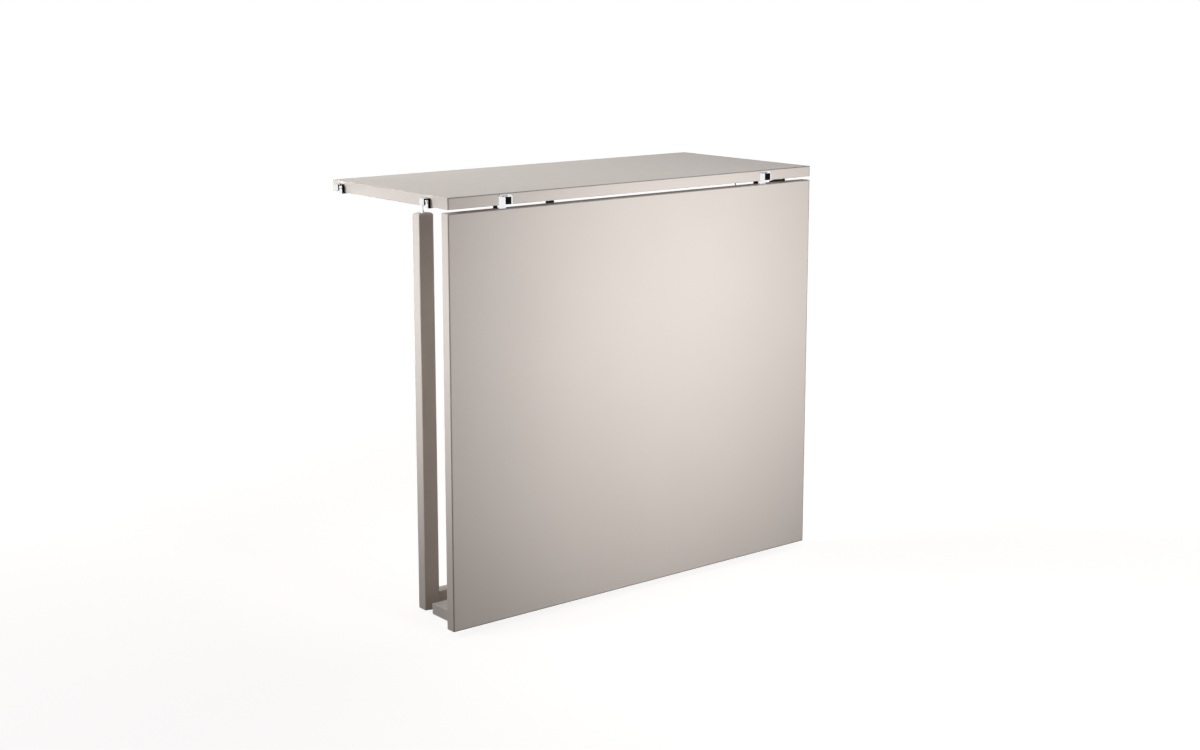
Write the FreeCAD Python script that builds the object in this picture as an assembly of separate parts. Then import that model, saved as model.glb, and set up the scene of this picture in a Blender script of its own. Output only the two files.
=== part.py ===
import FreeCAD, Part
import os

# Folding console table: a narrow top on a low stand, with a tall drop leaf hinged along its front edge
# and a folding leg stored behind the leaf. Millimetres, +Z up, the width along X and the front at -Y.
# The origin is on the floor, under the middle of the top.

# Boards
top_width = 830.0
top_depth = 362.0
table_height = 750.0
board_thickness = 20.0
board_easing = 0.8
leaf_gap = 6.5
leaf_floor_gap = 10.0

# Stand
stand_inset = 36.0
post_width = 30.0
post_depth = 22.0
post_setback = 141.0
left_post_top_gap = 23.0
right_post_top_gap = 29.0
post_easing = 2.0
post_bevel = 3.0
stick_easing = 1.2
rail_height = 30.0
foot_thickness = 20.0
foot_depth = 94.0
foot_setback = 26.0
bridge_width = 40.0
bridge_inset = 109.0
glide_height = 1.5
glide_radius = 8.0
glide_inset = 14.0

# Stud and plate between each post and the top
stud_radius = 3.0
stud_depth = 34.0
plate_length = 74.0
plate_width = 36.0
plate_thickness = 3.0
plate_screw_inset = 9.0

# Front hinges, let into the edge of the top
hinge_inset = 116.0
knuckle_radius = 5.5
housing_wall = 2.5
housing_roof = 1.0
housing_corner = 2.6
hinge_clearance = 0.5
side_gap = 0.3
arm_width = 15.4
arm_thickness = 3.2
arm_tenon = 24.0
cam_width = 7.4
cam_recess = 2.4
cam_drop = 3.0
hinge_pin_radius = 2.0
pin_clearance = 0.05
leaf_plate_width = 12.4
leaf_plate_thickness = 3.0
leaf_plate_drop = 42.0
leaf_plate_gap = 0.5

# Hooks on the ends of the top
hook_front_inset = 58.5
hook_back_inset = 31.5
hook_width = 13.5
hook_reach = 12.6
hook_strip = 2.6
hook_drop = 11.0
hook_top_drop = 5.0
hook_tail_below = 2.0
hook_flange = 1.4
pad_thickness = 3.0
pad_foot = 6.0

# Rubber stops behind the top edge of the leaf
stop_left_inset = 226.0
stop_left_length = 15.0
stop_right_inset = 63.5
stop_right_length = 37.0
stop_slope_length = 33.0
stop_slope_drop = 5.8
stop_depth = 6.0
stop_height = 15.0
stop_clearance = 0.4
stop_easing = 1.0

# Folding leg on the back of the leaf
leg_inset = 145.0
leg_width = 30.0
leg_depth = 20.0
pivot_inset = 40.0
pivot_setback = 72.0
leg_heel = 14.0
leg_stop_gap = 0.3
leg_shoe_height = 8.0
leg_rail_rise = 62.0
leg_rail_height = 30.0
leg_pin_radius = 4.0
leg_pin_proud = 1.5
bush_wall = 1.5

# Knee block and steel cheeks that carry the leg
knee_below = 16.0
knee_step = 20.0
knee_above = 70.0
knee_taper = 30.0
knee_side_gap = 0.5
cheek_thickness = 3.0
cheek_round = 12.0
cheek_margin = 16.0
cheek_rise = 46.0
cheek_screw_margin = 9.0

# Screws and dowels
screw_radius = 1.75
screw_head_radius = 3.5
screw_head_height = 2.2
screw_recess_radius = 1.3
screw_recess_depth = 1.2
screw_clearance = 0.05
plate_screw_length = 14.0
leaf_plate_screw_length = 16.0
arm_screw_length = 18.0
hook_screw_length = 24.0
cheek_screw_length = 14.0
bridge_screw_bite = 32.0
dowel_radius = 4.0
dowel_bite = 20.0
dowel_spread = 14.0
cut_overrun = 1.0

# Places that several pieces share
half_width = top_width / 2
front_y = -top_depth / 2
back_y = top_depth / 2
underside_z = table_height - board_thickness
axis_y = front_y + board_thickness / 2
axis_z = table_height - board_thickness / 2
leaf_back_y = front_y + board_thickness
leaf_top_z = underside_z - leaf_gap
post_outer_x = half_width - stand_inset
post_inner_x = post_outer_x - post_width
post_front_y = front_y + post_setback
post_back_y = post_front_y + post_depth
post_middle_x = (post_outer_x + post_inner_x) / 2
post_middle_y = (post_front_y + post_back_y) / 2
post_top_z = {"left": underside_z - left_post_top_gap, "right": underside_z - right_post_top_gap}
bridge_offset = post_inner_x - bridge_inset
leg_offset = half_width - leg_inset
foot_front_y = front_y + foot_setback
foot_back_y = foot_front_y + foot_depth
foot_top_z = glide_height + foot_thickness
pivot_y = leaf_back_y + pivot_setback
pivot_z = leaf_floor_gap + pivot_inset
leg_reach = axis_z - (pivot_y - axis_y)
leg_end_z = pivot_z + leg_reach
leg_front_y = pivot_y - leg_depth / 2
leg_back_y = pivot_y + leg_depth / 2
cheek_top_z = pivot_z + cheek_rise
housing_width = 2 * housing_wall + 2 * side_gap + arm_width + cam_width

x_axis = FreeCAD.Vector(1, 0, 0)
y_axis = FreeCAD.Vector(0, 1, 0)
z_axis = FreeCAD.Vector(0, 0, 1)
nodes = {}


def block(x_span, y_span, z_span):
    corner = FreeCAD.Vector(x_span[0], y_span[0], z_span[0])
    return Part.makeBox(x_span[1] - x_span[0], y_span[1] - y_span[0], z_span[1] - z_span[0], corner)


def about(middle, size):
    return middle - size / 2, middle + size / 2


def eased(shape, radius):
    return shape.makeFillet(radius, shape.Edges)


def rod(start, direction, length, radius):
    return Part.makeCylinder(radius, length, start, direction)


def fused(shapes):
    return shapes[0].multiFuse(shapes[1:]).removeSplitter()


def screw(head_point, direction, length, grow=0.0):
    """A countersunk screw whose flat head starts at head_point and points along direction."""
    wide = screw_head_radius + grow
    narrow = screw_radius + grow
    head = Part.makeCone(wide, narrow, screw_head_height, head_point, direction)
    shank = rod(head_point, direction, length + grow, narrow)
    return head.fuse(shank).removeSplitter()


def driven_screw(head_point, direction, length):
    recess = rod(head_point, direction, screw_recess_depth, screw_recess_radius)
    return screw(head_point, direction, length).cut(recess)


def screw_hole(head_point, direction, length):
    return screw(head_point, direction, length, screw_clearance)


def add(name, shape):
    nodes[name] = shape


def add_group(name, shapes):
    add(name, Part.makeCompound(shapes))


def cut_from(name, tools):
    nodes[name] = nodes[name].cut(tools)


def add_screws(name, heads, length, targets):
    """Drive one screw at each head, and open the same hole in every node it passes through."""
    add_group(name, [driven_screw(point, direction, length) for point, direction in heads])
    holes = [screw_hole(point, direction, length) for point, direction in heads]
    for target in targets:
        cut_from(target, holes)


def make_boards():
    x_span = (-half_width, half_width)
    add("top_slab", eased(block(x_span, (front_y, back_y), (underside_z, table_height)), board_easing))
    leaf = block(x_span, (front_y, leaf_back_y), (leaf_floor_gap, leaf_top_z))
    add("drop_leaf", eased(leaf, board_easing))


def dowel_pair(rail_end_x, outward, middle_y, middle_z):
    """Two dowels across the joint between a rail's end and the post beside it."""
    dowels = []
    for up in (-1, 1):
        start = FreeCAD.Vector(rail_end_x - outward * dowel_bite, middle_y, middle_z + up * dowel_spread / 2)
        dowels.append(rod(start, x_axis * outward, 2 * dowel_bite, dowel_radius))
    return dowels


def bevelled_post(x_span, y_span, z_span):
    """A post with its arrises rounded over and a wider bevel round its head."""
    post = block(x_span, y_span, z_span)
    head_edges = [edge for edge in post.Edges if edge.BoundBox.ZMin > z_span[1] - post_bevel]
    return eased(post, post_easing).common(post.makeChamfer(post_bevel, head_edges))


def make_stand():
    post_y = (post_front_y, post_back_y)
    for side, sign in (("left", -1), ("right", 1)):
        x_span = sorted((sign * post_inner_x, sign * post_outer_x))
        add("stand_post_" + side, bevelled_post(x_span, post_y, (glide_height, post_top_z[side])))
    rail_z = (glide_height, glide_height + rail_height)
    add("floor_rail", block((-post_inner_x, post_inner_x), post_y, rail_z))
    foot = block((-post_outer_x, post_outer_x), (foot_front_y, foot_back_y), (glide_height, foot_top_z))
    add("foot_board", eased(foot, stick_easing))
    dowels = []
    for side, sign in (("left", -1), ("right", 1)):
        pair = dowel_pair(sign * post_inner_x, sign, post_middle_y, sum(rail_z) / 2)
        cut_from("stand_post_" + side, pair)
        dowels += pair
    cut_from("floor_rail", dowels)
    add_group("rail_dowels", dowels)


def make_bridges():
    heads = []
    for side, sign in (("left", -1), ("right", 1)):
        middle_x = sign * bridge_offset
        bridge = block(about(middle_x, bridge_width), (foot_back_y, post_front_y), (glide_height, foot_top_z))
        add("foot_bridge_" + side, bridge)
        for screw_x in about(middle_x, bridge_width / 2):
            point = FreeCAD.Vector(screw_x, post_back_y, glide_height + foot_thickness / 2)
            heads.append((point, -y_axis))
    length = post_back_y - foot_back_y + bridge_screw_bite
    targets = ("foot_board", "floor_rail", "foot_bridge_left", "foot_bridge_right")
    add_screws("bridge_screws", heads, length, targets)


def make_glides():
    corner_x = post_outer_x - glide_inset
    foot_rows = (foot_front_y + glide_inset, foot_back_y - glide_inset)
    places = [(sign * corner_x, row_y) for sign in (-1, 1) for row_y in foot_rows]
    places += [(sign * post_middle_x, post_middle_y) for sign in (-1, 1)]
    glides = [rod(FreeCAD.Vector(x, y, 0), z_axis, glide_height, glide_radius) for x, y in places]
    add_group("floor_glides", glides)


def make_studs():
    heads = []
    for side, sign in (("left", -1), ("right", 1)):
        middle_x = sign * post_middle_x
        plate_z = (underside_z - plate_thickness, underside_z)
        plate = block(about(middle_x, plate_length), about(post_middle_y, plate_width), plate_z)
        add("top_plate_" + side, plate)
        foot_point = FreeCAD.Vector(middle_x, post_middle_y, post_top_z[side] - stud_depth)
        stud = rod(foot_point, z_axis, plate_z[0] - foot_point.z, stud_radius)
        add("post_stud_" + side, stud)
        cut_from("stand_post_" + side, [stud])
        for screw_x in about(middle_x, plate_length - 2 * plate_screw_inset):
            for screw_y in about(post_middle_y, plate_width - 2 * plate_screw_inset):
                heads.append((FreeCAD.Vector(screw_x, screw_y, plate_z[0]), z_axis))
    add_screws("plate_screws", heads, plate_screw_length, ("top_slab", "top_plate_left", "top_plate_right"))


def make_front_hinge(side, middle_x):
    """One housing with its friction cam and pin in the top, and the arm and plate on the leaf."""
    left_x = middle_x - housing_width / 2
    right_x = middle_x + housing_width / 2
    arm_x = (left_x + housing_wall + side_gap, left_x + housing_wall + side_gap + arm_width)
    cam_x = (right_x - housing_wall - cam_width, right_x - housing_wall)
    cavity_back_y = axis_y + knuckle_radius + hinge_clearance
    cavity_top_z = axis_z + knuckle_radius + hinge_clearance
    cam_top_z = cavity_top_z - cam_drop
    outer_y = (front_y, cavity_back_y + housing_wall)
    outer = block((left_x, right_x), outer_y, (underside_z, cavity_top_z + housing_roof))
    roof_edges = [edge for edge in outer.Edges if edge.BoundBox.ZMin > cavity_top_z]
    corner_edges = [edge for edge in roof_edges if edge.BoundBox.XLength < housing_wall]
    shell = outer.makeChamfer(housing_corner, corner_edges)
    room_y = (front_y - cut_overrun, cavity_back_y)
    room_low_z = underside_z - cut_overrun
    arm_room = block((left_x + housing_wall, cam_x[0]), room_y, (room_low_z, cavity_top_z))
    cam_room = block(cam_x, room_y, (room_low_z, cam_top_z))
    pin_start = FreeCAD.Vector(left_x, axis_y, axis_z)
    pin_hole = rod(pin_start, x_axis, housing_width, hinge_pin_radius + pin_clearance)
    cut_from("top_slab", [outer])
    add("hinge_housing_" + side, shell.cut([fused([arm_room, cam_room]), pin_hole]))
    cam = block(cam_x, (front_y + cam_recess, cavity_back_y), (underside_z, cam_top_z))
    add("hinge_cam_" + side, cam.cut(pin_hole))
    add("hinge_pin_" + side, rod(pin_start, x_axis, housing_width, hinge_pin_radius))
    knuckle = rod(FreeCAD.Vector(arm_x[0], axis_y, axis_z), x_axis, arm_width, knuckle_radius)
    strap_front_y = axis_y - knuckle_radius
    strap_y = (strap_front_y, strap_front_y + arm_thickness)
    strap = block(arm_x, strap_y, (leaf_top_z - arm_tenon, axis_z))
    add("hinge_arm_" + side, fused([knuckle, strap]).cut(pin_hole))
    cut_from("drop_leaf", [strap])
    arm_middle_x = sum(arm_x) / 2
    plate_y = (leaf_back_y, leaf_back_y + leaf_plate_thickness)
    plate_z = (leaf_top_z - leaf_plate_drop, underside_z - leaf_plate_gap)
    add("leaf_plate_" + side, block(about(arm_middle_x, leaf_plate_width), plate_y, plate_z))
    return arm_middle_x


def make_front_hinges():
    """Both hinges; one screw of each plate goes through the arm's tenon and one into the leaf below it."""
    plate_heads = []
    arm_heads = []
    head_y = leaf_back_y + leaf_plate_thickness
    below_tenon = (arm_tenon + leaf_plate_drop) / 2
    for side, sign in (("left", -1), ("right", 1)):
        arm_x = make_front_hinge(side, sign * (half_width - hinge_inset))
        plate_heads.append((FreeCAD.Vector(arm_x, head_y, leaf_top_z - below_tenon), -y_axis))
        arm_heads.append((FreeCAD.Vector(arm_x, head_y, leaf_top_z - arm_tenon / 2), -y_axis))
    boards = ("drop_leaf", "leaf_plate_left", "leaf_plate_right")
    add_screws("leaf_plate_screws", plate_heads, leaf_plate_screw_length, boards)
    arms = ("hinge_arm_left", "hinge_arm_right")
    add_screws("arm_screws", arm_heads, arm_screw_length, boards + arms)


def end_piece(sign, inner, outer, middle_y, z_span):
    """A block standing on an end of the top, from inner to outer distance off its face."""
    x_span = sorted((sign * (half_width + inner), sign * (half_width + outer)))
    return block(x_span, about(middle_y, hook_width), z_span)


def make_end_hooks():
    hook_top_z = table_height - hook_top_drop
    bridge_low_z = hook_top_z - hook_strip
    lip_z = (hook_top_z - hook_drop, hook_top_z)
    tail_z = underside_z - hook_tail_below
    names = []
    heads = []
    for end, sign in (("left", -1), ("right", 1)):
        for row, middle_y in (("front", front_y + hook_front_inset), ("back", back_y - hook_back_inset)):
            name = end + "_" + row
            flange_end = pad_thickness + hook_flange
            flange = end_piece(sign, pad_thickness, flange_end, middle_y, (tail_z, hook_top_z))
            bridge = end_piece(sign, pad_thickness, hook_reach, middle_y, (bridge_low_z, hook_top_z))
            lip = end_piece(sign, hook_reach - hook_strip, hook_reach, middle_y, lip_z)
            add("end_hook_" + name, fused([flange, bridge, lip]))
            pad = end_piece(sign, 0, pad_thickness, middle_y, (tail_z, hook_top_z))
            foot = end_piece(sign, -pad_foot, 0, middle_y, (tail_z, underside_z))
            add("end_pad_" + name, fused([pad, foot]))
            names += ["end_hook_" + name, "end_pad_" + name]
            head_x = sign * (half_width + flange_end)
            heads.append((FreeCAD.Vector(head_x, middle_y, (underside_z + bridge_low_z) / 2), x_axis * -sign))
    add_screws("end_hook_screws", heads, hook_screw_length, ["top_slab"] + names)


def make_leaf_stops():
    """A short block on the left, and on the right a long one whose top slopes down towards the hinge."""
    y_start = leaf_back_y + stop_clearance
    z_span = (underside_z - stop_height, underside_z)
    right_x = half_width - stop_right_inset
    places = (("left", stop_left_inset - half_width, stop_left_length), ("right", right_x, stop_right_length))
    for side, middle_x, length in places:
        stop = block(about(middle_x, length), (y_start, y_start + stop_depth), z_span)
        low_edges = [edge for edge in stop.Edges if edge.CenterOfMass.z < underside_z - stop_easing / 2]
        add("leaf_stop_" + side, stop.makeFillet(stop_easing, low_edges))
    slope_x = right_x - stop_right_length / 2
    slope_z = underside_z - stop_slope_drop
    above_z = underside_z + cut_overrun
    corners = ((slope_x + stop_slope_length, underside_z), (slope_x + stop_slope_length, above_z),
               (slope_x - cut_overrun, above_z), (slope_x - cut_overrun, slope_z), (slope_x, slope_z))
    points = [FreeCAD.Vector(x, y_start - cut_overrun, z) for x, z in corners]
    slope = Part.Face(Part.makePolygon(points + points[:1]))
    cut_from("leaf_stop_right", [slope.extrude(y_axis * (stop_depth + 2 * cut_overrun))])


def knee_outline(x_start, width):
    """The stepped wooden knee that holds the leg off the leaf and stops it at both ends of its swing."""
    heel_y = pivot_y - leg_heel - leg_stop_gap
    rest_y = leg_front_y - leg_stop_gap
    low_z = pivot_z - knee_below
    step_z = pivot_z + knee_step
    top_z = pivot_z + knee_above
    corners = ((leaf_back_y, low_z), (heel_y, low_z), (heel_y, step_z), (rest_y, step_z),
               (rest_y, top_z), (leaf_back_y, top_z + knee_taper))
    points = [FreeCAD.Vector(x_start, y, z) for y, z in corners]
    face = Part.Face(Part.makePolygon(points + points[:1]))
    return face.extrude(x_axis * width)


def make_cheek(x_start):
    y_start = leaf_back_y + cheek_margin
    x_span = (x_start, x_start + cheek_thickness)
    web = block(x_span, (y_start, leg_front_y - leg_stop_gap), (pivot_z - cheek_round, cheek_top_z))
    ear = block(x_span, (y_start, pivot_y), (pivot_z - cheek_round, pivot_z + cheek_round))
    end = rod(FreeCAD.Vector(x_start, pivot_y, pivot_z), x_axis, cheek_thickness, cheek_round)
    return fused([web, ear, end])


def make_knee(side, middle_x):
    """The block, the two cheeks and the pivot pin on one side; returns the heads of the cheek screws."""
    knee_width = leg_width + 2 * knee_side_gap
    left_x, right_x = about(middle_x, knee_width)
    add("leg_knee_" + side, knee_outline(left_x, knee_width))
    outer_width = knee_width + 2 * cheek_thickness
    pin_start = FreeCAD.Vector(middle_x - outer_width / 2 - leg_pin_proud, pivot_y, pivot_z)
    pin_length = outer_width + 2 * leg_pin_proud
    add("leg_pin_" + side, rod(pin_start, x_axis, pin_length, leg_pin_radius))
    pin_hole = rod(pin_start, x_axis, pin_length, leg_pin_radius + pin_clearance)
    cheeks = [make_cheek(x).cut(pin_hole) for x in (left_x - cheek_thickness, right_x)]
    add_group("leg_cheeks_" + side, cheeks)
    heads = []
    screw_y = leaf_back_y + cheek_margin + cheek_screw_margin
    for x, direction in ((left_x - cheek_thickness, x_axis), (right_x + cheek_thickness, -x_axis)):
        for screw_z in (pivot_z, cheek_top_z - cheek_screw_margin):
            heads.append((FreeCAD.Vector(x, screw_y, screw_z), direction))
    return heads


def make_leg_post(side, middle_x):
    x_span = about(middle_x, leg_width)
    y_span = (leg_front_y, leg_back_y)
    heel_z = pivot_z - leg_heel
    shoe_z = leg_end_z - leg_shoe_height
    post = block(x_span, y_span, (heel_z, shoe_z))
    low_edges = [edge for edge in post.Edges if edge.BoundBox.ZMax < heel_z + stick_easing]
    heel_edge = [edge for edge in low_edges if edge.BoundBox.YMax < leg_front_y + stick_easing]
    post = post.makeFillet(leg_depth / 2, heel_edge)
    bush_radius = leg_pin_radius + pin_clearance + bush_wall
    bush_start = FreeCAD.Vector(x_span[0], pivot_y, pivot_z)
    bush_body = rod(bush_start, x_axis, leg_width, bush_radius)
    bush_hole = rod(bush_start, x_axis, leg_width, leg_pin_radius + pin_clearance)
    add("leg_post_" + side, post.cut(bush_body))
    add("leg_bush_" + side, bush_body.cut(bush_hole))
    shoe = block(x_span, y_span, (shoe_z, leg_end_z))
    rim = [edge for edge in shoe.Edges if edge.CenterOfMass.z > shoe_z + stick_easing / 2]
    return shoe.makeFillet(stick_easing, rim)


def make_leg():
    cheek_heads = []
    shoes = []
    dowels = []
    rail_end_x = leg_offset - leg_width / 2
    rail_z = (pivot_z + leg_rail_rise, pivot_z + leg_rail_rise + leg_rail_height)
    add("leg_rail", block((-rail_end_x, rail_end_x), (leg_front_y, leg_back_y), rail_z))
    for side, sign in (("left", -1), ("right", 1)):
        cheek_heads += make_knee(side, sign * leg_offset)
        shoes.append(make_leg_post(side, sign * leg_offset))
        pair = dowel_pair(sign * rail_end_x, sign, pivot_y, sum(rail_z) / 2)
        cut_from("leg_post_" + side, pair)
        dowels += pair
    cut_from("leg_rail", dowels)
    add_group("leg_dowels", dowels)
    add_group("leg_shoes", shoes)
    targets = ["leg_knee_left", "leg_knee_right", "leg_cheeks_left", "leg_cheeks_right"]
    add_screws("cheek_screws", cheek_heads, cheek_screw_length, targets)


def export_nodes():
    os.makedirs("parts", exist_ok=True)
    for name, shape in nodes.items():
        if not shape.isValid() or not shape.Solids:
            raise ValueError(name + " is not a valid solid")
        shape.exportStep("parts/" + name + ".step")
        print(name, len(shape.Solids), round(shape.Volume))


make_boards()
make_stand()
make_bridges()
make_glides()
make_studs()
make_front_hinges()
make_end_hooks()
make_leaf_stops()
make_leg()
export_nodes()
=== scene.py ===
import math
import bmesh
import bpy
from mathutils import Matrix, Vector


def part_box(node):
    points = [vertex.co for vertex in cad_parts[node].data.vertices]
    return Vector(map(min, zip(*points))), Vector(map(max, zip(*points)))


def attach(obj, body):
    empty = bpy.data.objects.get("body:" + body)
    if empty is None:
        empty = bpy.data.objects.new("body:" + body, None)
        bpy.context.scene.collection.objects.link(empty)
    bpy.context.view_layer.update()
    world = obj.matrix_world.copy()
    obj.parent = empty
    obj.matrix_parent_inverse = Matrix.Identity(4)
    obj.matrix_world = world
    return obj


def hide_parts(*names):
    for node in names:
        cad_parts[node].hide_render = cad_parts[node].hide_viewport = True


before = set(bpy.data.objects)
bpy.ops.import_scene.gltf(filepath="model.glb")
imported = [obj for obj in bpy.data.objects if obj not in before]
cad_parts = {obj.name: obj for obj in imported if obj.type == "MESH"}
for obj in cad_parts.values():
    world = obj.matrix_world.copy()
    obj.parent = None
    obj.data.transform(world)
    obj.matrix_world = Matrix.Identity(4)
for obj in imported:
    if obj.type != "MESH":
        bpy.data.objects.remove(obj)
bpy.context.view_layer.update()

# Top slab and drop leaf: two boards of fine fibreboard, cut square with their arrises eased. They are
# sprayed all round in a warm grey satin lacquer with the faint peel of a spray gun. Along the arrises of
# the show face a fine darker line is painted into the colour: painted shade where the eased edges turn
# dark.
lacquer_tone = (0.582, 0.538, 0.500)
lacquer_cloud = (0.24, 2)
lacquer_drift = 0.018
lacquer_mist = (0.012, 3)
lacquer_gloss = (0.42, 0.50)
lacquer_shine = 0.18
lacquer_peel = (0.0016, 2)
lacquer_peel_depth = 0.000012
# The fine darker line along the arrises is painted shade: its width, and how dark it falls.
painted_arris_width = (0.0011, 0.0024)
painted_arris_darkness = 0.42
spot_range = (0.3, 0.7)


def start_finish(name):
    """A new material, its node tree, its shader, and the place of each point on the table."""
    finish = bpy.data.materials.new(name)
    finish.use_nodes = True
    tree = finish.node_tree
    place = tree.nodes.new("ShaderNodeTexCoord").outputs["Object"]
    return finish, tree, tree.nodes["Principled BSDF"], place


def speckle(tree, place, spots):
    """Soft spots from 0 to 1, given as their size in metres and the number of finer layers on them."""
    size, layers = spots
    noise = tree.nodes.new("ShaderNodeTexNoise")
    noise.inputs["Scale"].default_value = 1.0 / size
    noise.inputs["Detail"].default_value = layers
    tree.links.new(place, noise.inputs["Vector"])
    return noise.outputs["Fac"]


def ramp(tree, value, before, after):
    """Turns a number between the two ends of before into one between the two ends of after."""
    node = tree.nodes.new("ShaderNodeMapRange")
    for socket, end in zip(node.inputs[1:5], before + after):
        socket.default_value = end
    tree.links.new(value, node.inputs["Value"])
    return node.outputs["Result"]


def between(tree, spots, span):
    """Turns soft spots into a number between the two ends of span."""
    return ramp(tree, spots, spot_range, span)


def shades(tree, spots, tone, drift):
    """A colour that drifts with the spots, from a little darker to a little lighter than tone."""
    mix = tree.nodes.new("ShaderNodeMix")
    mix.data_type = "RGBA"
    mix.inputs["A"].default_value = [part * (1 - drift) for part in tone] + [1]
    mix.inputs["B"].default_value = [min(1.0, part * (1 + drift)) for part in tone] + [1]
    tree.links.new(between(tree, spots, (0, 1)), mix.inputs["Factor"])
    return mix.outputs["Result"]


def dimmed(tree, colour, share):
    """The colour with its brightness scaled by a share that differs from place to place."""
    scaled = tree.nodes.new("ShaderNodeVectorMath")
    scaled.operation = "SCALE"
    tree.links.new(colour, scaled.inputs[0])
    tree.links.new(share, scaled.inputs["Scale"])
    return scaled.outputs[0]


def relief(tree, shader, height, depth):
    """Fine relief of this depth in metres on the shader's surface."""
    bump = tree.nodes.new("ShaderNodeBump")
    bump.inputs["Strength"].default_value = 1.0
    bump.inputs["Distance"].default_value = depth
    tree.links.new(height, bump.inputs["Height"])
    tree.links.new(bump.outputs["Normal"], shader.inputs["Normal"])


def calculate(tree, operation, first, second):
    """One sum on two sockets or numbers."""
    node = tree.nodes.new("ShaderNodeMath")
    node.operation = operation
    for socket, value in zip(node.inputs, (first, second)):
        if isinstance(value, (int, float)):
            socket.default_value = value
        else:
            tree.links.new(value, socket)
    return node.outputs[0]


def painted_arris_shade(tree, place, board, low_arris):
    """1 away from the arrises of a board's front face, falling to the darkness of the painted shade line
    on them.
    """
    low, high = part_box(board)
    split = tree.nodes.new("ShaderNodeSeparateXYZ")
    tree.links.new(place, split.inputs[0])
    x, y, z = split.outputs
    steps = [(x, low[0]), (high[0], x), (high[2], z)]
    if low_arris:
        steps.append((z, low[2]))
    distances = [calculate(tree, "SUBTRACT", far, near) for far, near in steps]
    nearest = distances[0]
    for distance in distances[1:]:
        nearest = calculate(tree, "MINIMUM", nearest, distance)
    from_front = calculate(tree, "SUBTRACT", y, low[1])
    from_arris = calculate(tree, "MAXIMUM", nearest, from_front)
    return ramp(tree, from_arris, painted_arris_width, (painted_arris_darkness, 1.0))


def sprayed_lacquer(name, board=None, low_arris=False):
    """The satin lacquer, with a painted shade line along the arrises of this board if one is named."""
    finish, tree, shader, place = start_finish(name)
    colour = shades(tree, speckle(tree, place, lacquer_cloud), lacquer_tone, lacquer_drift)
    if board:
        # painted shade: the colour darkens in a fine line along the board's arrises
        colour = dimmed(tree, colour, painted_arris_shade(tree, place, board, low_arris))
    tree.links.new(colour, shader.inputs["Base Color"])
    mist = speckle(tree, place, lacquer_mist)
    tree.links.new(between(tree, mist, lacquer_gloss), shader.inputs["Roughness"])
    shader.inputs["Specular IOR Level"].default_value = lacquer_shine
    relief(tree, shader, speckle(tree, place, lacquer_peel), lacquer_peel_depth)
    return finish


def dress(node_name, finish):
    """A CAD piece keeps its shape and takes this finish."""
    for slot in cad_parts[node_name].material_slots:
        slot.material = finish


dress("top_slab", sprayed_lacquer("top_slab_lacquer", "top_slab"))
dress("drop_leaf", sprayed_lacquer("drop_leaf_lacquer", "drop_leaf", low_arris=True))

# Stand: two upright posts, a floor rail between them and a foot board in front, in lacquered solid wood.
# Two bridges tie the foot board to the rail. The sticks are planed square, and every arris is rounded
# over before they are sprayed like the boards and put together.
stick_arris = 0.0012
arris_segments = 2
sharp_angle = math.radians(40)
flat_angle = math.radians(0.5)
merge_distance = 0.000001


def add_to_scene(name, data):
    """A new object that holds this mesh, lamp or camera."""
    piece = bpy.data.objects.new(name, data)
    bpy.context.scene.collection.objects.link(piece)
    return piece


def merged_copy(node_name):
    """A copy of a CAD mesh with its triangles joined and its flat faces made whole."""
    shape = bmesh.new()
    shape.from_mesh(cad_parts[node_name].data)
    bmesh.ops.remove_doubles(shape, verts=shape.verts, dist=merge_distance)
    bmesh.ops.dissolve_limit(shape, angle_limit=flat_angle, verts=shape.verts, edges=shape.edges)
    mesh = bpy.data.meshes.new(node_name + "_copy")
    shape.to_mesh(mesh)
    shape.free()
    for attribute in [a for a in mesh.attributes if a.name == "custom_normal"]:
        mesh.attributes.remove(attribute)
    return mesh


def make_plain(piece, finish):
    """Turns a piece's modifiers into a plain mesh with one finish."""
    bpy.context.view_layer.update()
    evaluated = piece.evaluated_get(bpy.context.evaluated_depsgraph_get())
    mesh = bpy.data.meshes.new_from_object(evaluated)
    piece.modifiers.clear()
    piece.data = mesh
    mesh.name = piece.name
    mesh.materials.clear()
    mesh.materials.append(finish)


def fit_to_body(piece, node_name, body):
    """The piece rides on the body and takes the place of its node, which is hidden."""
    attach(piece, body)
    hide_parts(node_name)


def softened(node_name, arris, finish, body):
    """The CAD shape with its sharp edges rounded over, standing for its node."""
    mesh = merged_copy(node_name)
    for face in mesh.polygons:
        face.use_smooth = True
    mesh.set_sharp_from_angle(angle=sharp_angle)
    piece = add_to_scene(node_name + "_finished", mesh)
    bevel = piece.modifiers.new("arris", "BEVEL")
    bevel.width = arris
    bevel.segments = arris_segments
    bevel.limit_method = "ANGLE"
    bevel.angle_limit = sharp_angle
    bevel.harden_normals = True
    make_plain(piece, finish)
    fit_to_body(piece, node_name, body)


lacquer = sprayed_lacquer("warm_grey_satin_lacquer")
for stick in ("stand_post_left", "stand_post_right", "foot_board"):
    dress(stick, lacquer)
for stick in ("floor_rail", "foot_bridge_left", "foot_bridge_right"):
    softened(stick, stick_arris, lacquer, "stand")

# Dowels: turned beech pins glued across the joints of both frames. Only their ends could ever show,
# so the wood keeps its pale bare grain along the pin.
beech_tone = (0.60, 0.42, 0.26)
beech_grain = (0.0011, 4)
beech_grain_stretch = (0.08, 1.0, 1.0)
beech_drift = 0.16
beech_gloss = (0.55, 0.7)
beech_grain_depth = 0.00003


def stretched(tree, place, stretch):
    """The same place with each direction drawn out or pressed together, for grain and rolling lines."""
    mapping = tree.nodes.new("ShaderNodeMapping")
    mapping.inputs["Scale"].default_value = stretch
    tree.links.new(place, mapping.inputs["Vector"])
    return mapping.outputs["Vector"]


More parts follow.
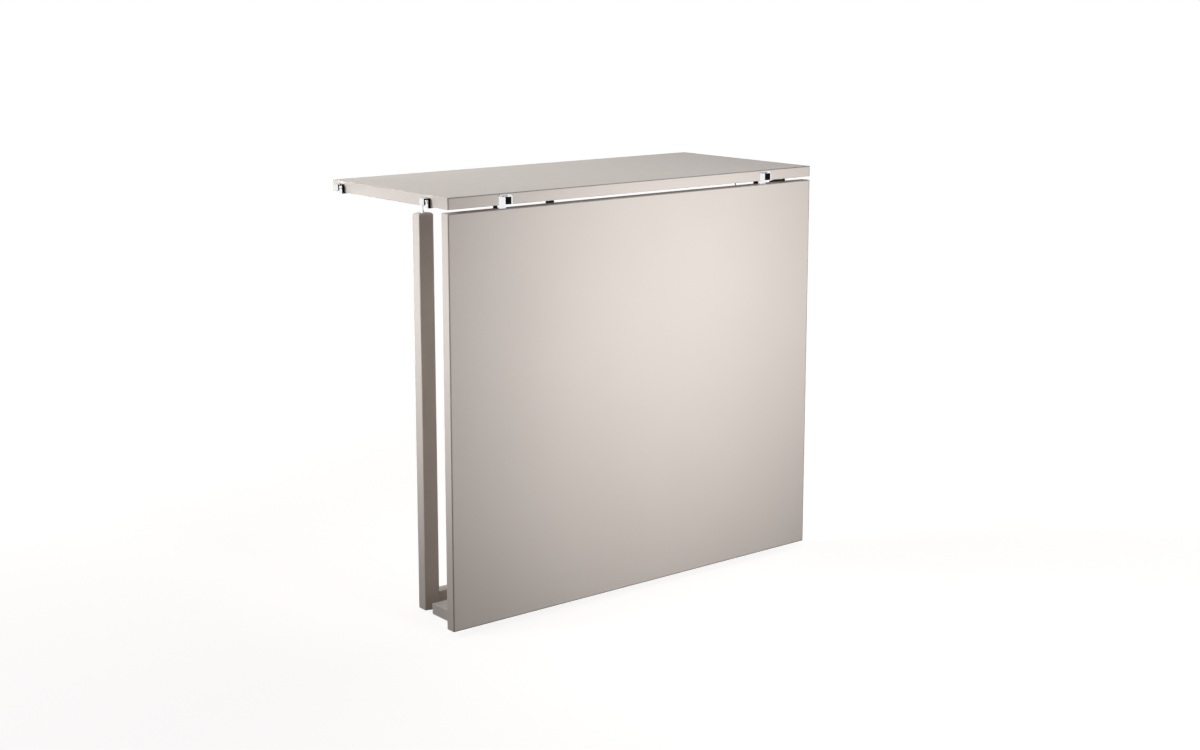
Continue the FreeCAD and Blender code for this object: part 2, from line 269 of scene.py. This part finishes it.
def tint(tree, shader, spots, tone, drift, gloss):
    """A colour and a roughness that both follow the same spots."""
    tree.links.new(shades(tree, spots, tone, drift), shader.inputs["Base Color"])
    tree.links.new(between(tree, spots, gloss), shader.inputs["Roughness"])


beech, tree, shader, place = start_finish("bare_beech")
grain = speckle(tree, stretched(tree, place, beech_grain_stretch), beech_grain)
tint(tree, shader, grain, beech_tone, beech_drift, beech_gloss)
relief(tree, shader, grain, beech_grain_depth)

for pins in ("rail_dowels", "leg_dowels"):
    dress(pins, beech)

# Floor glides: six thin discs of hard black rubber, glued under the foot board and the posts. They keep
# the lacquer off the floor and are dulled by dust.
rubber_tone = (0.008, 0.008, 0.0083)
rubber_dust = (0.006, 4)
rubber_drift = 0.25
rubber_gloss = (0.58, 0.74)
rubber_shine = 0.06
rubber_skin = (0.0006, 2)
rubber_skin_depth = 0.00003

rubber, tree, shader, place = start_finish("black_rubber")
tint(tree, shader, speckle(tree, place, rubber_dust), rubber_tone, rubber_drift, rubber_gloss)
shader.inputs["Specular IOR Level"].default_value = rubber_shine
relief(tree, shader, speckle(tree, place, rubber_skin), rubber_skin_depth)

dress("floor_glides", rubber)

# Studs and top plates: a satin chromed stud stands in the head of each post and carries a zinc plated
# plate, which is screwed to the underside of the top.
chrome_tone = (0.86, 0.86, 0.87)
chrome_haze = (0.004, 3)
chrome_drift = 0.02
stud_gloss = (0.45, 0.55)
zinc_tone = (0.56, 0.56, 0.575)
zinc_spangle = (0.0025, 3)
zinc_drift = 0.07
zinc_rolling = (0.0008, 3)
zinc_rolling_stretch = (1.0, 1.0, 0.06)
zinc_rolling_depth = 0.000008
zinc_gloss = (0.28, 0.44)
plate_arris = 0.0005


def chromed(name, gloss):
    """Chrome plate with a faint haze, from mirror bright to satin by its gloss."""
    finish, tree, shader, place = start_finish(name)
    shader.inputs["Metallic"].default_value = 1.0
    tint(tree, shader, speckle(tree, place, chrome_haze), chrome_tone, chrome_drift, gloss)
    return finish


zinc, tree, shader, place = start_finish("zinc_plated_steel")
shader.inputs["Metallic"].default_value = 1.0
spangle = speckle(tree, place, zinc_spangle)
tree.links.new(shades(tree, spangle, zinc_tone, zinc_drift), shader.inputs["Base Color"])
rolled = speckle(tree, stretched(tree, place, zinc_rolling_stretch), zinc_rolling)
tree.links.new(between(tree, rolled, zinc_gloss), shader.inputs["Roughness"])
relief(tree, shader, rolled, zinc_rolling_depth)

satin_chrome = chromed("satin_chrome", stud_gloss)
for side in ("left", "right"):
    dress("post_stud_" + side, satin_chrome)
    softened("top_plate_" + side, plate_arris, zinc, "stand")

# Front hinges: a chromed housing is let into the edge of the top, with a friction cam in its right half
# and a steel pin through it. The cam's near-black colour is painted shade, for the deep shade inside the
# housing.
# The chromed arm turns on the pin and is tenoned into the leaf, and a black moulded plate behind it, on
# the back of the leaf, takes the screw through the tenon.
chrome_gloss = (0.05, 0.10)
housing_arris = 0.0003
arm_arris = 0.0007
moulding_arris = 0.0004
# Near-black plastic; on the cams this tone is painted shade for the deep inside of the housing.
plastic_and_recess_shade_tone = (0.004, 0.004, 0.0042)
plastic_bloom = (0.005, 3)
plastic_drift = 0.2
plastic_gloss = (0.38, 0.5)
plastic_shine = 0.03
plastic_skin = (0.0004, 2)
plastic_skin_depth = 0.00001

chrome = chromed("polished_chrome", chrome_gloss)

plastic, tree, shader, place = start_finish("black_plastic_and_recess_shade")
tint(tree, shader, speckle(tree, place, plastic_bloom), plastic_and_recess_shade_tone, plastic_drift, plastic_gloss)
shader.inputs["Specular IOR Level"].default_value = plastic_shine
relief(tree, shader, speckle(tree, place, plastic_skin), plastic_skin_depth)

for side in ("left", "right"):
    softened("hinge_housing_" + side, housing_arris, chrome, "stand")
    # the cam's near-black is painted shade for the inside of the housing
    softened("hinge_cam_" + side, moulding_arris, plastic, "stand")
    dress("hinge_pin_" + side, zinc)
    softened("hinge_arm_" + side, arm_arris, chrome, "leaf")
    softened("leaf_plate_" + side, moulding_arris, plastic, "leaf")

# End hooks: steel strip bent over twice and screwed to each end of the top, open downwards to take the
# edge of a further leaf. It is chromed all over, and its cut edges, which face front and back, carry a
# painted dark reflection. A black rubber pad between hook and board turns under the board.
hook_arris = 0.0004
pad_arris = 0.0005
# The dark on the cut edges is a painted reflection: how far the chrome is darkened, and where it turns.
painted_edge_reflection = 0.012
painted_edge_turn = (0.6, 0.8)

hook_chrome = chromed("chromed_strip", chrome_gloss)
tree = hook_chrome.node_tree
coat = tree.nodes["Principled BSDF"].inputs["Base Color"]
plating = coat.links[0].from_socket
facing = tree.nodes.new("ShaderNodeSeparateXYZ")
tree.links.new(tree.nodes["Texture Coordinate"].outputs["Normal"], facing.inputs[0])
towards_edge = calculate(tree, "ABSOLUTE", facing.outputs["Y"], 0)
# painted reflection: the chrome is darkened nearly to black on the faces towards front and back
plated = ramp(tree, towards_edge, painted_edge_turn, (1.0, painted_edge_reflection))
tree.links.new(dimmed(tree, plating, plated), coat)

for end in ("left", "right"):
    for row in ("front", "back"):
        softened("end_hook_" + end + "_" + row, hook_arris, hook_chrome, "stand")
        softened("end_pad_" + end + "_" + row, pad_arris, rubber, "stand")

# Leaf stops: two rubber blocks glued under the front edge of the top, just behind the leaf. They stop
# the hanging leaf from swinging under the top. The right one is longer and slopes towards its hinge.
for side in ("left", "right"):
    dress("leaf_stop_" + side, rubber)

# Knees of the folding leg: a stepped wooden block on the back of the leaf for each leg, with a cheek of
# zinc plated strip on both sides and a steel pin through them. The leg turns on the pin.
cheek_arris = 0.0005
pin_arris = 0.0007

for side in ("left", "right"):
    softened("leg_knee_" + side, stick_arris, lacquer, "leaf")
    softened("leg_cheeks_" + side, cheek_arris, zinc, "leaf")
    softened("leg_pin_" + side, pin_arris, zinc, "leaf")

# Folding leg: two posts joined low down by a rail, in the same lacquered wood as the stand. A white nylon
# bush lines each pivot hole, and a rubber shoe caps each end that stands on the floor.
nylon_tone = (0.78, 0.77, 0.73)
nylon_milk = (0.003, 2)
nylon_drift = 0.02
nylon_gloss = (0.34, 0.42)

nylon, tree, shader, place = start_finish("white_nylon")
tint(tree, shader, speckle(tree, place, nylon_milk), nylon_tone, nylon_drift, nylon_gloss)

for stick in ("leg_post_left", "leg_post_right", "leg_rail"):
    softened(stick, stick_arris, lacquer, "leg")
for side in ("left", "right"):
    dress("leg_bush_" + side, nylon)
dress("leg_shoes", rubber)

# Screws: countersunk cross-head screws in zinc plated steel hold the plates, bridges, hinges, hooks and
# cheeks. Each is driven flush in its own hole, and its cross points wherever the driver stopped.
screw_sizes = {
    "Head Radius": 0.0035,
    "Head Height": 0.0022,
    "Shank Radius": 0.00175,
    "Cross Length": 0.0038,
    "Cross Width": 0.00075,
    "Cross Depth": 0.0013,
}
screw_head_sides = 32
screw_shank_sides = 20
screw_seed = 7


def screw_nodes():
    """A tree that drives one screw at each point of a mesh, along the point's outward direction."""
    tree = bpy.data.node_groups.new("cross_head_screws", "GeometryNodeTree")
    face = tree.interface
    face.new_socket("Points", in_out="INPUT", socket_type="NodeSocketGeometry")
    for size in list(screw_sizes) + ["Length"]:
        face.new_socket(size, in_out="INPUT", socket_type="NodeSocketFloat")
    face.new_socket("Finish", in_out="INPUT", socket_type="NodeSocketMaterial")
    face.new_socket("Screws", in_out="OUTPUT", socket_type="NodeSocketGeometry")
    link = tree.links.new
    given = tree.nodes.new("NodeGroupInput").outputs

    def node(kind, **settings):
        made = tree.nodes.new(kind)
        for key, value in settings.items():
            setattr(made, key, value)
        return made

    def lowered(shape, drop):
        down = node("ShaderNodeCombineXYZ")
        link(calculate(tree, "MULTIPLY", drop, -1.0), down.inputs["Z"])
        moved = node("GeometryNodeTransform")
        link(shape, moved.inputs["Geometry"])
        link(down.outputs[0], moved.inputs["Translation"])
        return moved.outputs["Geometry"]

    head = node("GeometryNodeMeshCone")
    head.inputs["Vertices"].default_value = screw_head_sides
    link(given["Head Radius"], head.inputs["Radius Top"])
    link(given["Shank Radius"], head.inputs["Radius Bottom"])
    link(given["Head Height"], head.inputs["Depth"])
    head_shape = lowered(head.outputs["Mesh"], given["Head Height"])
    cut = node("GeometryNodeMeshBoolean", operation="DIFFERENCE", solver="EXACT")
    link(head_shape, cut.inputs["Mesh 1"])
    for along, across in (("Cross Length", "Cross Width"), ("Cross Width", "Cross Length")):
        size = node("ShaderNodeCombineXYZ")
        link(given[along], size.inputs["X"])
        link(given[across], size.inputs["Y"])
        link(calculate(tree, "MULTIPLY", given["Cross Depth"], 2.0), size.inputs["Z"])
        blade = node("GeometryNodeMeshCube")
        link(size.outputs[0], blade.inputs["Size"])
        link(blade.outputs["Mesh"], cut.inputs["Mesh 2"])
    shank = node("GeometryNodeMeshCylinder")
    shank.inputs["Vertices"].default_value = screw_shank_sides
    link(given["Shank Radius"], shank.inputs["Radius"])
    shank_length = calculate(tree, "SUBTRACT", given["Length"], given["Head Height"])
    link(shank_length, shank.inputs["Depth"])
    half_shank = calculate(tree, "MULTIPLY", shank_length, 0.5)
    shank_middle = calculate(tree, "ADD", given["Head Height"], half_shank)
    joined = node("GeometryNodeJoinGeometry")
    link(cut.outputs["Mesh"], joined.inputs[0])
    link(lowered(shank.outputs["Mesh"], shank_middle), joined.inputs[0])

    outward = node("GeometryNodeInputNamedAttribute", data_type="FLOAT_VECTOR")
    outward.inputs["Name"].default_value = "outward"
    aim = node("FunctionNodeAlignRotationToVector", axis="Z")
    link(outward.outputs["Attribute"], aim.inputs["Vector"])
    turn = node("FunctionNodeRandomValue", data_type="FLOAT")
    turn.inputs["Max"].default_value = math.pi
    turn.inputs["Seed"].default_value = screw_seed
    twist = node("FunctionNodeAxisAngleToRotation")
    link(turn.outputs[1], twist.inputs["Angle"])
    driven = node("FunctionNodeRotateRotation", rotation_space="LOCAL")
    link(aim.outputs["Rotation"], driven.inputs["Rotation"])
    link(twist.outputs["Rotation"], driven.inputs["Rotate By"])
    placed = node("GeometryNodeInstanceOnPoints")
    link(given["Points"], placed.inputs["Points"])
    link(joined.outputs["Geometry"], placed.inputs["Instance"])
    link(driven.outputs["Rotation"], placed.inputs["Rotation"])
    real = node("GeometryNodeRealizeInstances")
    link(placed.outputs["Instances"], real.inputs["Geometry"])
    coated = node("GeometryNodeSetMaterial")
    link(real.outputs["Geometry"], coated.inputs["Geometry"])
    link(given["Finish"], coated.inputs["Material"])
    result = node("NodeGroupOutput")
    link(coated.outputs["Geometry"], result.inputs["Screws"])
    return tree


def driven_heads(node_name):
    """The middle of each head, its outward direction, and the length, read from the CAD screws."""
    shape = bmesh.new()
    shape.from_mesh(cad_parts[node_name].data)
    bmesh.ops.remove_doubles(shape, verts=shape.verts, dist=merge_distance)
    left = set(shape.verts)
    heads = []
    while left:
        found = [left.pop()]
        for vert in found:
            for edge in vert.link_edges:
                other = edge.other_vert(vert)
                if other in left:
                    left.remove(other)
                    found.append(other)
        low = Vector([min(vert.co[i] for vert in found) for i in range(3)])
        high = Vector([max(vert.co[i] for vert in found) for i in range(3)])
        middle = (low + high) / 2
        along = max(range(3), key=lambda i: high[i] - low[i])
        widest = max(found, key=lambda vert: (vert.co - middle).length)
        sign = 1 if widest.co[along] > middle[along] else -1
        outward = Vector((0, 0, 0))
        outward[along] = sign
        point = middle.copy()
        point[along] = high[along] if sign > 0 else low[along]
        heads.append((point, outward, high[along] - low[along]))
    shape.free()
    return sorted(heads, key=lambda head: tuple(head[0]))


def drive_screws(tree, node_name, body):
    """Cross-head screws in the places of the CAD ones, standing for their node."""
    heads = driven_heads(node_name)
    mesh = bpy.data.meshes.new(node_name + "_points")
    mesh.from_pydata([point for point, outward, length in heads], [], [])
    directions = mesh.attributes.new("outward", "FLOAT_VECTOR", "POINT")
    for entry, (point, outward, length) in zip(directions.data, heads):
        entry.vector = outward
    piece = add_to_scene(node_name + "_driven", mesh)
    modifier = piece.modifiers.new("screws", "NODES")
    modifier.node_group = tree
    values = dict(screw_sizes, Length=heads[0][2], Finish=zinc)
    for socket in tree.interface.items_tree:
        if socket.in_out == "INPUT" and socket.name in values:
            modifier[socket.identifier] = values[socket.name]
    make_plain(piece, zinc)
    piece.data.set_sharp_from_angle(angle=sharp_angle)
    fit_to_body(piece, node_name, body)


cross_head_screws = screw_nodes()
for screws in ("plate_screws", "bridge_screws", "end_hook_screws"):
    drive_screws(cross_head_screws, screws, "stand")
for screws in ("leaf_plate_screws", "arm_screws", "cheek_screws"):
    drive_screws(cross_head_screws, screws, "leaf")

# Studio: a plain white floor under a white surround. The floor takes the table's soft shadow, and the
# surround is white to the lens and in the chrome, and dimmer and a little warm as a light.
floor_half = 20.0
floor_tone = (0.245, 0.215, 0.205)
floor_fibres = (0.004, 3)
floor_drift = 0.01
floor_glow = (0.86, 1.0)
floor_glow_reach = (0.7, 2.6)
surround_light = (0.115, 0.098, 0.095, 1)
plain_white = (1, 1, 1, 1)


def seen_directly(tree):
    """1 for what the lens sees straight, in a reflection or through something, and 0 for light."""
    path = tree.nodes.new("ShaderNodeLightPath")
    seen = path.outputs["Is Camera Ray"]
    for ray in ("Is Glossy Ray", "Is Transmission Ray"):
        seen = calculate(tree, "MAXIMUM", seen, path.outputs[ray])
    return seen


floor_mesh = bpy.data.meshes.new("studio_floor")
floor_corners = [(x * floor_half, y * floor_half, 0) for x, y in ((-1, -1), (1, -1), (1, 1), (-1, 1))]
floor_mesh.from_pydata(floor_corners, [], [(0, 1, 2, 3)])
floor = add_to_scene("studio_floor", floor_mesh)

paper, tree, shader, place = start_finish("white_paper_floor")
fibres = speckle(tree, place, floor_fibres)
tree.links.new(shades(tree, fibres, floor_tone, floor_drift), shader.inputs["Base Color"])
shader.inputs["Roughness"].default_value = 1.0
shader.inputs["Specular IOR Level"].default_value = 0.0
shader.inputs["Emission Color"].default_value = plain_white
away = tree.nodes.new("ShaderNodeVectorMath")
away.operation = "LENGTH"
tree.links.new(place, away.inputs[0])
fade = ramp(tree, away.outputs["Value"], floor_glow_reach, floor_glow)
glow = calculate(tree, "MULTIPLY", seen_directly(tree), fade)
tree.links.new(glow, shader.inputs["Emission Strength"])
floor_mesh.materials.append(paper)

surround = bpy.data.worlds.new("white_surround")
bpy.context.scene.world = surround
surround.use_nodes = True
tree = surround.node_tree
sky = tree.nodes["Background"]
sky.inputs["Strength"].default_value = 1.0
level = tree.nodes.new("ShaderNodeMix")
level.data_type = "RGBA"
level.inputs["A"].default_value = surround_light
level.inputs["B"].default_value = plain_white
tree.links.new(seen_directly(tree), level.inputs["Factor"])
tree.links.new(level.outputs["Result"], sky.inputs["Color"])

# Lamps: a soft box in front, whose light gathers on the upper middle of the leaf, one on the left for the
# end faces, one over the top and one over the place of the raised leaf. Two low ones on the right and
# behind fill the sides that the others leave dark.
small_window = (0.60, 0.60)
leaf_window = (0.80, 0.80)
top_window = (1.20, 1.20)
left_window = (1.20, 0.43)
all_round = math.pi

# Each lamp has its place, the point that it faces, its window, its watts and the spread of its light.
lamps = {
    "front_soft_box": ((0.06, -2.79, 1.00), (0.115, -0.18, 0.545), small_window, 4.40, 0.67),
    "left_soft_box": ((-1.70, 0.60, 1.16), (-0.41, 0.01, 0.57), left_window, 3.20, 0.68),
    "top_soft_box": ((0.02, 0.62, 2.00), (-0.05, 0.42, 0.75), top_window, 3.25, 1.60),
    "leaf_soft_box": ((0.00, -0.98, 2.40), (0.00, -0.93, 0.75), leaf_window, 1.40, 0.84),
    "right_soft_box": ((2.20, 0.10, 0.42), (0.40, 0.05, 0.40), small_window, 20.0, all_round),
    "back_soft_box": ((-0.70, 2.30, 0.42), (0.00, 0.10, 0.38), small_window, 20.0, all_round),
}
for name, (spot, target, window, watts, spread) in lamps.items():
    lamp = bpy.data.lights.new(name, "AREA")
    lamp.shape = "RECTANGLE"
    lamp.size, lamp.size_y = window
    lamp.energy = watts
    lamp.spread = spread
    soft_box = add_to_scene(name, lamp)
    soft_box.location = spot
    soft_box.rotation_euler = (Vector(target) - Vector(spot)).to_track_quat("-Z", "Y").to_euler()
    soft_box.visible_camera = False

# Camera: a long lens at chest height in front of the left corner, with a little shift so that the uprights
# stay nearly parallel.
camera_place = (-2.0974, -2.6662, 1.1038)
camera_pan = 0.6776
camera_tilt = 0.1744
lens_length = 55.52
sensor_width = 36.0
lens_shift = -0.06

lens = bpy.data.cameras.new("camera")
lens.lens = lens_length
lens.sensor_width = sensor_width
lens.shift_y = lens_shift
camera = add_to_scene("camera", lens)
camera.location = camera_place
camera.rotation_euler = (math.pi / 2 - camera_tilt, 0, -camera_pan)
bpy.context.scene.camera = camera
bpy.context.scene.view_settings.view_transform = "Standard"
